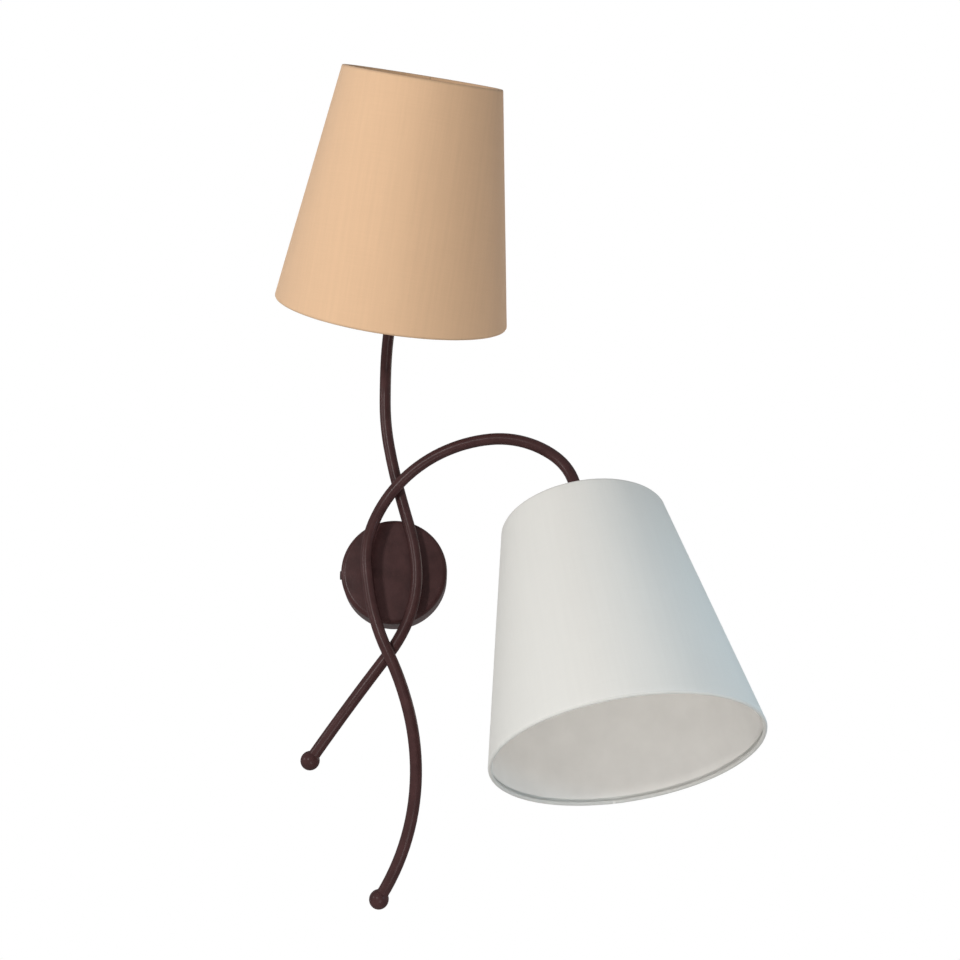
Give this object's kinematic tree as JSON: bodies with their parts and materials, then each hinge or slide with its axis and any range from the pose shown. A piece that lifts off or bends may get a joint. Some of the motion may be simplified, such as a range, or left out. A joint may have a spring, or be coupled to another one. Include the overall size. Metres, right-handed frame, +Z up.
{
  "type": "double arm wall sconce",
  "caption": "Wall sconce with intertwined bent tube arms on a round canopy, carrying tapered fabric shades, one raised and one hanging.",
  "frame": {"origin": "middle of the canopy's back, on the wall, which is also midway between the two wall screws", "axes": "+X to the right as seen by someone facing the wall, +Y into the wall, +Z up; the lamps reach towards -Y"},
  "size_m": [0.3938, 0.2831, 0.7184],
  "materials": {
    "zinc_steel": "zinc plated",
    "brown_paint": "semi-matte powder coat",
    "brown_screws": "semi-matte paint",
    "terminal_plastic": "natural",
    "terminal_brass": "plain",
    "screw_steel": "zinc plated",
    "earth_sleeve": "green and yellow sleeve",
    "core_sleeve": "smooth sleeve",
    "lead_sheath": "smooth sheath",
    "holder_plastic": "moulded",
    "holder_ceramic": "steatite, plain",
    "contact_brass": "plain",
    "bulb_cap_metal": "rolled thread",
    "bulb_glass": "opal",
    "beige_fabric": "fine woven cotton",
    "white_fabric": "fine woven cotton",
    "shade_lining": "matt backing sheet",
    "white_wire": "white coated wire"
  },
  "bodies": {
    "fixture": {"wall_bracket": "zinc_steel", "canopy": "brown_paint", "canopy_screw": "brown_screws", "canopy_peg": "screw_steel", "terminal_block": "terminal_plastic", "terminal_inserts": "terminal_brass", "terminal_screws": "screw_steel", "block_screws": "screw_steel", "earth_screw": "screw_steel", "earth_wire": "earth_sleeve", "post_washers": "screw_steel", "post_nuts": "screw_steel", "lamp_cores": "core_sleeve", "upper_arm": "brown_paint", "upper_finial": "brown_paint", "upper_post": "brown_paint", "upper_lead": "lead_sheath", "upper_holder_cap": "holder_plastic", "upper_contact_block": "holder_ceramic", "upper_holder_skirt": "holder_plastic", "upper_screw_shell": "contact_brass", "upper_centre_contact": "contact_brass", "upper_shade_nut": "holder_plastic", "lower_arm": "brown_paint", "lower_finial": "brown_paint", "lower_post": "brown_paint", "lower_lead": "lead_sheath", "lower_holder_cap": "holder_plastic", "lower_contact_block": "holder_ceramic", "lower_holder_skirt": "holder_plastic", "lower_screw_shell": "contact_brass", "lower_centre_contact": "contact_brass", "lower_shade_nut": "holder_plastic"},
    "upper_bulb": {"upper_bulb_cap": "bulb_cap_metal", "upper_bulb_globe": "bulb_glass"},
    "upper_shade": {"upper_shade_fabric": "beige_fabric", "upper_shade_lining": "shade_lining", "upper_shade_top_ring": "white_wire", "upper_shade_bottom_ring": "white_wire", "upper_shade_fitter": "white_wire"},
    "lower_bulb": {"lower_bulb_cap": "bulb_cap_metal", "lower_bulb_globe": "bulb_glass"},
    "lower_shade": {"lower_shade_fabric": "white_fabric", "lower_shade_lining": "shade_lining", "lower_shade_top_ring": "white_wire", "lower_shade_bottom_ring": "white_wire", "lower_shade_fitter": "white_wire"}
  },
  "joints": [
    {"name": "upper_shade_turn", "type": "hinge", "parent": "fixture", "child": "upper_shade", "pos_m": [0.0086, -0.14605, 0.30572], "axis": [0.1339, -0.5729, 0.8086], "continuous": true},
    {"name": "upper_bulb_unscrew", "type": "slide", "parent": "fixture", "child": "upper_bulb", "axis": [0.1339, -0.5729, 0.8086], "range_m": [0, 0.03]},
    {"name": "lower_shade_turn", "type": "hinge", "parent": "fixture", "child": "lower_shade", "pos_m": [0.16623, -0.13814, -0.03223], "axis": [0.1051, -0.3107, -0.9447], "continuous": true},
    {"name": "lower_bulb_unscrew", "type": "slide", "parent": "fixture", "child": "lower_bulb", "axis": [0.1051, -0.3107, -0.9447], "range_m": [0, 0.03]}
  ]
}
